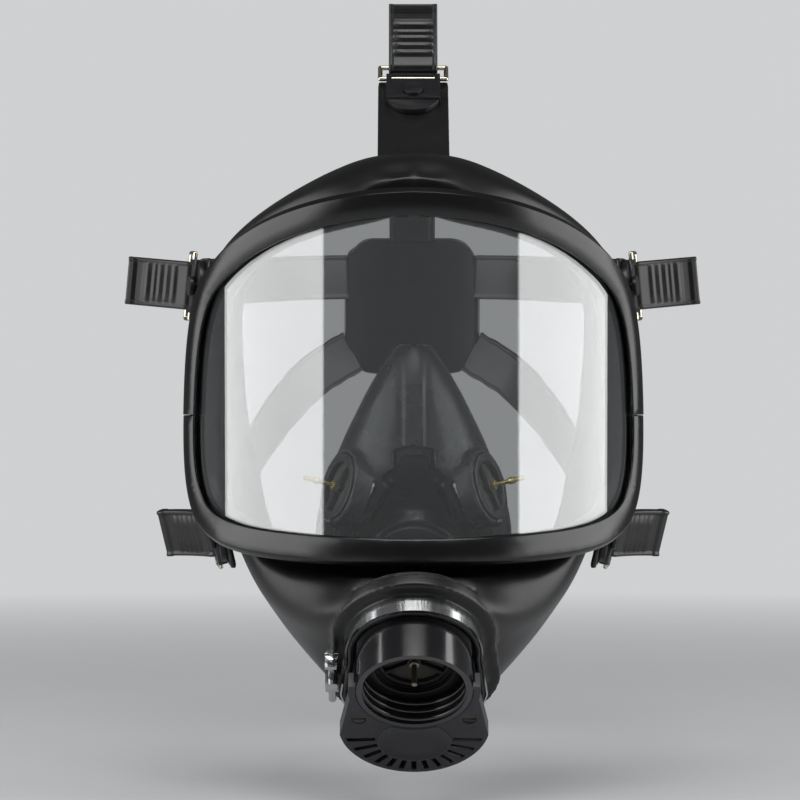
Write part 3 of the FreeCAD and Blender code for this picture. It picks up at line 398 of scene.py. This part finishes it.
# polycarbonate with a hard coat: clear, faintly cool, its gloss broken by wiping marks
visor_glass = bpy.data.materials.new("hard_coated_polycarbonate")
visor_glass.use_nodes = True
tree = visor_glass.node_tree
tree.nodes.clear()
place = add(tree, "ShaderNodeTexCoord").outputs["Object"]
wiped = add(tree, "ShaderNodeMapping", {"Scale": (1.0, 1.0, 0.08)}, {"Vector": place})
marks = add(tree, "ShaderNodeTexNoise", {"Scale": per(3.0), "Detail": 4.0}, {"Vector": wiped.outputs[0]})
gloss = add(tree, "ShaderNodeMapRange", {"From Min": 0.45, "From Max": 0.8, "To Min": 0.0, "To Max": 0.06},
            {"Value": marks.outputs["Fac"]})
pane = add(tree, "ShaderNodeBsdfPrincipled",
           {"Base Color": linear("eef1f2"), "Transmission Weight": 1.0, "IOR": 1.586, "Coat Weight": 1.0,
            "Coat Roughness": 0.0, "Coat IOR": 1.6},
           {"Roughness": gloss.outputs[0]})
through = add(tree, "ShaderNodeBsdfTransparent", {"Color": linear("e9edef")})
path = add(tree, "ShaderNodeLightPath")
both = add(tree, "ShaderNodeMixShader", None,
           {0: path.outputs["Is Shadow Ray"], 1: pane.outputs[0], 2: through.outputs[0]})
add(tree, "ShaderNodeOutputMaterial", None, {"Surface": both.outputs[0]})
finish(visor_glass, "visor")


# ---- Frame ----
# Two halves of glass-filled nylon clamp the rubber to the visor's edge. They meet at the sides in
# small ears, drawn together by two black machine screws and hexagon nuts.

# glass-filled nylon from a fine mould: black, with a smooth satin shine
frame_nylon = moulded("satin_frame_nylon", ("080809", "0c0c0d", "1c1c1e"), 0.28, 0.02, (0.19, 0.27), wear=0.4,
                      shader={"IOR": 1.53})
# steel with a black oxide finish: dull, and grey where a driver or spanner rubs it
black_oxide = moulded("black_oxide_steel", ("141414", "1d1c1b", "55524e"), 0.3, 0.01, (0.35, 0.5), wear=0.6,
                      shader={"Metallic": 0.6})
for half in ("upper_frame", "lower_frame"):
    finish(frame_nylon, half)
    edged(half, 0.6, 3, 28.0)
finish(black_oxide, "frame_screws", "frame_nuts")
edged("frame_screws", 0.25)
edged("frame_nuts", 0.25)


# ---- Connector ----
# Gloss black moulded tube with the hose thread, a rubber gasket at its bottom, and the inlet
# valve's seat, flap and pin. The lower chamber holds the outlet valve under a slotted cap.

# thermoplastic from a polished mould: black, with a hard clear shine
gloss_plastic = moulded("gloss_moulded_plastic", ("0b0b0d", "111113", "26262a"), 1.2, 0.006, (0.1, 0.2),
                        wear=0.3, shader={"IOR": 1.55, "Coat Weight": 0.4, "Coat Roughness": 0.08})
# thermoplastic from an etched mould: dark grey with a fine matt grain
cap_plastic = moulded("grained_cap_plastic", ("1b1b20", "232328", "3d3d43"), 0.4, 0.04, (0.36, 0.5), wear=0.5,
                      shader={"IOR": 1.5})
finish(gloss_plastic, "connector_housing")
finish(cap_plastic, "exhalation_cover")
edged("exhalation_cover", 0.4, 3, 40.0)
finish(black_oxide, "cover_screws")
edged("cover_screws", 0.2)
finish(moulded_rubber, "connector_gasket")
edged("connector_gasket", 0.3)
finish(nylon, "inhalation_seat", "exhalation_seat")
edged("inhalation_seat", 0.25)
edged("exhalation_seat", 0.25)
finish(disc_silicone, "inhalation_disc", "exhalation_disc")
# turned steel gone dull: warm grey, with rings round the pin
steel_pin = metal("dull_turned_steel", ("8d8475", "a39a8a"), 0.4, (0.3, 0.5), (1.0, 0.05, 1.0))
finish(steel_pin, "inhalation_pin")
edged("inhalation_pin", 0.3)


def at_mouth(x, y, z):
    """A place in the connector's own frame, z out of its mouth, in the scene's metres."""
    return Vector((MOUTH + SIDE * x + CONE_UP * y + CONE_OUT * z) * MM)


def piece_of(name, verts, faces, material, slot):
    """A closed piece fixed to the mask's body."""
    mesh = bpy.data.meshes.new(name)
    mesh.from_pydata(verts, [], faces)
    mesh.validate()
    piece = bpy.data.objects.new(name, mesh)
    bpy.context.scene.collection.objects.link(piece)
    finish(material, piece)
    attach(piece, "root")
    return piece


THREAD_R = 20.0
PITCH = 25.4 / 7
CREST_W = 2.3
CREST_H = 1.0
THREAD_FROM, THREAD_TO = -12.6, -1.0
TURN_STEPS = 72
CREST_SINK = 0.15    # the crest's foot stands this far inside the wall
CREST_FADE = 12      # steps over which it rises at each end


def thread():
    """The round thread's crest: a helical ridge on the bore's wall that dies out at both ends."""
    turns = (THREAD_TO - THREAD_FROM) / PITCH
    count = int(turns * TURN_STEPS)
    arc = [math.pi * k / 6 for k in range(7)]
    verts, faces = [], []
    for i in range(count + 1):
        turn = math.tau * turns * i / count
        rise = THREAD_FROM + PITCH * turn / math.tau
        fade = min(1.0, i / CREST_FADE, (count - i) / CREST_FADE)
        section = [(THREAD_R + CREST_SINK, -CREST_W / 2)]
        section += [(THREAD_R - CREST_H * fade * math.sin(a), -CREST_W / 2 * math.cos(a)) for a in arc]
        section += [(THREAD_R + CREST_SINK, CREST_W / 2)]
        verts += [at_mouth(r * math.cos(turn), r * math.sin(turn), rise + z) for r, z in section]
    size = len(section)
    for i in range(count):
        for k in range(size):
            n = (k + 1) % size
            faces.append((i * size + k, i * size + n, (i + 1) * size + n, (i + 1) * size + k))
    return verts, faces + [tuple(reversed(range(size))), tuple(range(count * size, (count + 1) * size))]


piece_of("connector_thread_crest", *thread(), gloss_plastic, "gloss_housing")

MEDAL_Y = -31.0      # plain oval boss on the cap, cut short by the tube
MEDAL_W, MEDAL_H = 14.2, 11.9
TUBE_CLEAR = 22.7
MEDAL_RINGS = ((1.0, -0.2), (1.0, 0.3), (0.975, 0.42), (0.93, 0.42), (0.9, 0.12), (0.6, 0.2), (0.3, 0.26))


def medallion():
    """The boss in rings from its foot to its crown: raised rim, then a low dome."""
    verts, faces = [], []
    count = ROUND_STEPS
    for share, height in MEDAL_RINGS:
        for i in range(count):
            turn = math.tau * i / count
            reach = 1 / math.hypot(math.cos(turn) / MEDAL_W, math.sin(turn) / MEDAL_H)
            across, up = math.cos(turn), math.sin(turn)
            while math.hypot(reach * across, MEDAL_Y + reach * up) < TUBE_CLEAR:
                reach -= 0.1
            verts.append(at_mouth(share * reach * across, MEDAL_Y + share * reach * up, height))
    for i in range(len(MEDAL_RINGS) - 1):
        for k in range(count):
            n = (k + 1) % count
            faces.append((i * count + k, i * count + n, (i + 1) * count + n, (i + 1) * count + k))
    last = (len(MEDAL_RINGS) - 1) * count
    return verts, faces + [tuple(reversed(range(count))), tuple(range(last, last + count))]


piece_of("cap_medallion", *medallion(), cap_plastic, "cover_plastic")


# ---- Clamp band ----
# Strip of polished stainless steel round the rubber sleeve, with folded ears, a slotted
# tightening screw and a square nut on the wearer's right.

# rolled stainless strip, polished: bright, with fine lines along the strip
polished_steel = metal("polished_stainless_strip", ("c9cacb", "b8b9ba"), 0.5, (0.12, 0.24), (1.0, 0.06, 0.06))
finish(polished_steel, "clamp_band", "clamp_screw", "clamp_nut", "exhalation_spring")
edged("clamp_screw", 0.25)
edged("clamp_nut", 0.3)


# ---- Buckles ----
# Black acetal plates riveted to the lugs. Each carries a closed loop of nickel-plated wire that
# swings in its cross bore and holds the strap.

# acetal from a plain mould: black, with a waxy satin shine
acetal = moulded("satin_acetal", ("121214", "1a1a1c", "3c3c40"), 0.4, 0.015, (0.26, 0.36), wear=0.5,
                 shader={"IOR": 1.48})
# drawn wire with bright nickel: warm white metal
plated_wire = metal("nickel_plated_wire", ("e3dccb", "cfc6b2"), 0.3, (0.12, 0.26), (0.1, 1.0, 1.0))
PLACES = ("crown", "temple_left", "temple_right", "cheek_left", "cheek_right")
for name in PLACES:
    finish(acetal, "buckle_base_" + name)
    edged("buckle_base_" + name, 0.6)
    finish(plated_wire, "wire_loop_" + name)
finish(acetal, "buckle_rivets")
edged("buckle_rivets", 0.5)


# ---- Harness straps ----
# Moulded rubber straps, one piece each: from the pad over the head, round the wire loop and back
# as a free tail with a thick end. Their edges are raised and the tails carry grip teeth.

ALONG = {"crown": (0, 0.77, 0.64), "temple_left": (-0.26, 0.96, 0.05), "cheek_left": (-0.20, 0.96, 0.14)}
ROUTES = {           # points between the buckle and the pad
    "crown": ((0, 20, 145), (0, 48, 147), (0, 90, 133), (0, 124, 105), (0, 140, 73)),
    "temple_left": ((-89, 22, 49), (-82, 55, 51), (-68, 92, 53), (-49, 121, 55), (-30, 136.8, 56)),
    "cheek_left": ((-76, 16, -50), (-74, 50, -34), (-64, 88, -12), (-47, 120, 9), (-28, 137.8, 22)),
}
TAIL_TURN = {         # degrees that each tail stands off its buckle
    "crown": 28.0, "temple_left": 46.0, "temple_right": 44.0, "cheek_left": 26.0, "cheek_right": 26.0}
HEAD_Y = 43.0
LOOP_L = 8.0
WIRE_R = 0.95
STRAP_W = 20.0
STRAP_T = 2.0
EDGE_W = 1.3         # raised edges of the strap
EDGE_H = 0.5
TAIL_L = 26.0
END_L = 2.4          # thick end of the tail
END_H = 0.8
TOOTH_PITCH = 3.1
TOOTH_H = 0.7
TEETH_FROM, TEETH_SHORT = 4.0, 6.0      # plain stretches of the tail before and after its teeth
TAIL_CURL = 14.0     # degrees that the free tail turns along its length
WRAP_CLEAR = 0.1     # strap to wire
WRAP_STEPS = 22
TWIST_L = 45.0       # length over which the strap turns from the buckle to lie on the head
TWIST_Z = 20.0       # above this the crown strap faces upwards too
STEP = 0.65


def mirrored(points):
    """The same points on the wearer's other side."""
    return [(-x, y, z) for x, y, z in points]


def smooth_path(points, step):
    """Points a step apart on a smooth curve through the given ones."""
    points = [np.array(p, float) for p in points]
    ends = [2 * points[0] - points[1]] + points + [2 * points[-1] - points[-2]]
    out = []
    for a, b, c, d in zip(ends, ends[1:], ends[2:], ends[3:]):
        count = max(2, int(np.linalg.norm(c - b) / step))
        for t in np.arange(count) / count:
            bend = 2 * a - 5 * b + 4 * c - d
            turn = 3 * b - a - 3 * c + d
            out.append(0.5 * (2 * b + (c - a) * t + bend * t * t + turn * t ** 3))
    return out + [points[-1]]


def strap_section(width, thick, tooth, swell):
    """Strap's section, raised at its edges on both faces, with a tooth on one: (across, out) points."""
    half, top = width / 2, thick / 2 + swell
    raised = top + EDGE_H
    inner = half - EDGE_W
    upper = [(-half + 0.15, top), (-half + 0.5, raised), (-inner, raised), (-inner + 0.6, top)]
    grip = top + tooth
    under = [(inner - 1.2, -grip), (half / 3, -grip), (-half / 3, -grip), (-inner + 1.2, -grip)]
    ring = [(-half, 0.0)] + upper + [(-x, y) for x, y in reversed(upper)] + [(half, 0.0)]
    ring += [(-x, -y) for x, y in upper] + under + [(x, -y) for x, y in reversed(upper)]
    return ring


def ribbon(name, stations):
    """Closed strap mesh through stations of (centre, across, out, tooth, swell)."""
    rows = []
    for centre, across, out, tooth, swell in stations:
        rows.append([centre + across * u + out * v for u, v in strap_section(STRAP_W, STRAP_T, tooth, swell)])
    count = len(rows[0])
    verts = [Vector(p) * MM for row in rows for p in row]
    faces = []
    for i in range(len(rows) - 1):
        for k in range(count):
            n = (k + 1) % count
            faces.append((i * count + k, i * count + n, (i + 1) * count + n, (i + 1) * count + k))
    last = (len(rows) - 1) * count
    faces += [tuple(reversed(range(count))), tuple(range(last, last + count))]
    mesh = bpy.data.meshes.new(name)
    mesh.from_pydata(verts, [], faces)
    mesh.validate()
    piece = bpy.data.objects.new(name, mesh)
    bpy.context.scene.collection.objects.link(piece)
    return piece


def unit(v):
    """The vector at length 1."""
    return v / np.linalg.norm(v)


# strap rubber from an eroded mould: black, a little greyer and duller than the mask
strap_rubber = moulded("matt_strap_rubber", ("0a0a0b", "111112", "242427"), 0.4, 0.04, (0.28, 0.38), wear=0.5,
                       patch_mm=14.0, shader={"IOR": 1.52})
hinges = {j["name"]: j for j in frame["joints"]}
for name in PLACES:
    right = name.endswith("right")
    key = name.replace("right", "left")
    hinge = hinges["buckle_swing_" + name]
    across = unit(np.array(hinge["axis"]))
    along = unit(np.array(mirrored([ALONG[key]])[0] if right else ALONG[key]))
    out = np.cross(across, along)
    bar = np.array(hinge["pos_m"]) / MM + along * LOOP_L
    route = mirrored(ROUTES[key]) if right else ROUTES[key]
    turn = math.radians(TAIL_TURN[name])
    wrap_r = WIRE_R + STRAP_T / 2 + WRAP_CLEAR
    # main run, from the pad to just under the bar
    leaving = [bar + along * 2.0 - out * wrap_r, bar + along * 10.0 - out * 1.5]
    run = smooth_path(leaving + [np.array(p) for p in route], STEP)
    run.reverse()
    stations = []
    for i, centre in enumerate(run):
        tangent = unit(run[min(i + 1, len(run) - 1)] - run[max(i - 1, 0)])
        upwards = max(0.0, centre[2] - TWIST_Z) if key == "crown" else 0.0
        away = np.array([centre[0], centre[1] - HEAD_Y, upwards])
        share = min(1.0, (len(run) - 1 - i) * STEP / TWIST_L)
        face = unit(out * (1 - share) + unit(away) * share)
        side = unit(np.cross(face, tangent))
        # the same edge stays on the same side all the way
        if np.dot(side, across) < 0:
            side = -side
        normal = np.cross(tangent, side)
        stations.append((centre, side, unit(normal) * np.sign(np.dot(normal, face)), 0.0, 0.0))
    # round the bar: from below, past the front, to the tail's direction
    for i in range(1, WRAP_STEPS + 1):
        angle = math.radians(-90) - (math.radians(180) - turn) * i / WRAP_STEPS
        spoke = along * math.cos(angle) + out * math.sin(angle)
        stations.append((bar + spoke * wrap_r, across, -spoke, 0.0, 0.0))
    # free tail with teeth, a gentle curl and a thick end
    heading = turn
    centre = stations[-1][0]
    travelled = 0.0
    while travelled < TAIL_L:
        heading += math.radians(TAIL_CURL) * STEP / TAIL_L
        centre = centre + (along * math.cos(heading) + out * math.sin(heading)) * STEP
        travelled += STEP
        face = along * math.sin(heading) - out * math.cos(heading)
        left = TAIL_L - travelled
        toothed = TEETH_FROM < travelled < TAIL_L - TEETH_SHORT
        tooth = TOOTH_H * (travelled / TOOTH_PITCH % 1.0) if toothed else 0.0
        stations.append((centre, across, face, tooth, END_H if left < END_L else 0.0))
    strap = ribbon("harness_strap_and_tail_" + name, stations)
    finish(strap_rubber, strap)
    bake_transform(strap)
    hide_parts("harness_strap_" + name, "strap_tail_" + name)


# ---- Harness pad ----
# Moulded rubber plate at the back of the head that the five straps run into, with a raised rim.

PAD_LOW, PAD_HIGH = 12.0, 74.0
PAD_HALF = 31.0
PAD_CORNER = 14.0
PAD_RIM_W = 4.0
PAD_RIM_H = 0.9
pad = softened("rubber_harness_pad", ["harness_pad"], 0.8, 3)
places, normals = points_of(pad)
middle = (PAD_LOW + PAD_HIGH) / 2
tall = (PAD_HIGH - PAD_LOW) / 2
past_x = np.maximum(np.abs(places[:, 0]) - (PAD_HALF - PAD_CORNER), 0)
past_z = np.maximum(np.abs(places[:, 2] - middle) - (tall - PAD_CORNER), 0)
depth = PAD_CORNER - np.hypot(past_x, past_z)
rim = np.exp(-((depth - PAD_RIM_W / 2) / (PAD_RIM_W / 3)) ** 2) * (normals[:, 1] > 0.2)
places += normals * (PAD_RIM_H * rim)[:, None]
move(pad, places)
finish(strap_rubber, pad)
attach(pad, "root")
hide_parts("harness_pad")


# ---- Floor, lights and camera ----
# A plain pale floor below the mask, two tall softboxes at its sides whose reflections stand in
# the visor, and a soft light above.

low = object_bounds()[0]
# painted board: pale grey and matt, with slow changes of tone
floor_material = moulded("matt_pale_floor", ("c9cacc", "cfd0d2", "d4d5d6"), 2.0, 0.02, (0.75, 0.9),
                         patch_mm=300.0)
# the floor fades into the pale backdrop away from the mask, which leaves a faint, soft horizon
tree = floor_material.node_tree
output = next(n for n in tree.nodes if n.type == "OUTPUT_MATERIAL")
place = add(tree, "ShaderNodeTexCoord").outputs["Object"]
reach = add(tree, "ShaderNodeVectorMath", {"operation": "LENGTH"}, {0: place})
fade = add(tree, "ShaderNodeMapRange", {"From Min": 0.35, "From Max": 1.3}, {"Value": reach.outputs["Value"]})
clear = add(tree, "ShaderNodeBsdfTransparent")
mixed = add(tree, "ShaderNodeMixShader", None,
            {0: fade.outputs[0], 1: output.inputs["Surface"].links[0].from_socket, 2: clear.outputs[0]})
tree.links.new(mixed.outputs[0], output.inputs["Surface"])
FLOOR_R = 9.0
FLOOR_GAP = 0.012
turns = [math.tau * i / ROUND_STEPS for i in range(ROUND_STEPS)]
ring = [(FLOOR_R * math.cos(t), FLOOR_R * math.sin(t), low.z - FLOOR_GAP) for t in turns]
floor_mesh = bpy.data.meshes.new("studio_floor")
floor_mesh.from_pydata(ring, [], [tuple(range(ROUND_STEPS))])
floor = bpy.data.objects.new("studio_floor", floor_mesh)
bpy.context.scene.collection.objects.link(floor)
floor_mesh.materials.append(floor_material)


def softbox(name, azimuth, distance, height, size, watts):
    """Rectangular light at an azimuth from the front, turned to the mask's middle."""
    data = bpy.data.lights.new(name, "AREA")
    data.shape = "RECTANGLE"
    data.size, data.size_y = size
    data.energy = watts
    light = bpy.data.objects.new(name, data)
    turn = math.radians(azimuth)
    light.location = (distance * math.sin(turn), -distance * math.cos(turn), height)
    light.rotation_mode = "QUATERNION"
    light.rotation_quaternion = (-light.location).to_track_quat("-Z", "Y")
    bpy.context.scene.collection.objects.link(light)


softbox("left_softbox", -72.0, 0.85, 0.05, (0.96, 1.3), 11.0)
softbox("right_softbox", 78.0, 0.85, 0.05, (0.9, 1.3), 11.0)
softbox("top_softbox", 0.0, 0.55, 1.0, (0.8, 0.5), 6.0)

world = bpy.data.worlds.new("studio")
bpy.context.scene.world = world
world.use_nodes = True
tree = world.node_tree
tree.nodes.clear()
fill = add(tree, "ShaderNodeBackground", {"Color": linear("dfe1e3"), "Strength": 0.14})
backdrop = add(tree, "ShaderNodeBackground", {"Color": linear("d9dadb"), "Strength": 0.9})
dimmer = add(tree, "ShaderNodeBackground", {"Color": linear("d9dadb"), "Strength": 0.42})
path = add(tree, "ShaderNodeLightPath")
inside = add(tree, "ShaderNodeMixShader", None,
             {0: path.outputs["Is Transmission Ray"], 1: fill.outputs[0], 2: dimmer.outputs[0]})
seen = add(tree, "ShaderNodeMixShader", None,
           {0: path.outputs["Is Camera Ray"], 1: inside.outputs[0], 2: backdrop.outputs[0]})
add(tree, "ShaderNodeOutputWorld", None, {"Surface": seen.outputs[0]})
bpy.context.scene.view_settings.view_transform = "Standard"

FOCAL = 144.0
SENSOR = 36.0
EYE = (-5.4, -1322.0, 0.0)
lens = bpy.data.cameras.new("camera")
lens.lens = FOCAL
lens.sensor_width = SENSOR
camera = bpy.data.objects.new("camera", lens)
camera.location = Vector(EYE) * MM
camera.rotation_euler = (math.radians(90), 0, 0)
lens.clip_start, lens.clip_end = 0.05, 50.0
bpy.context.scene.collection.objects.link(camera)
bpy.context.scene.camera = camera
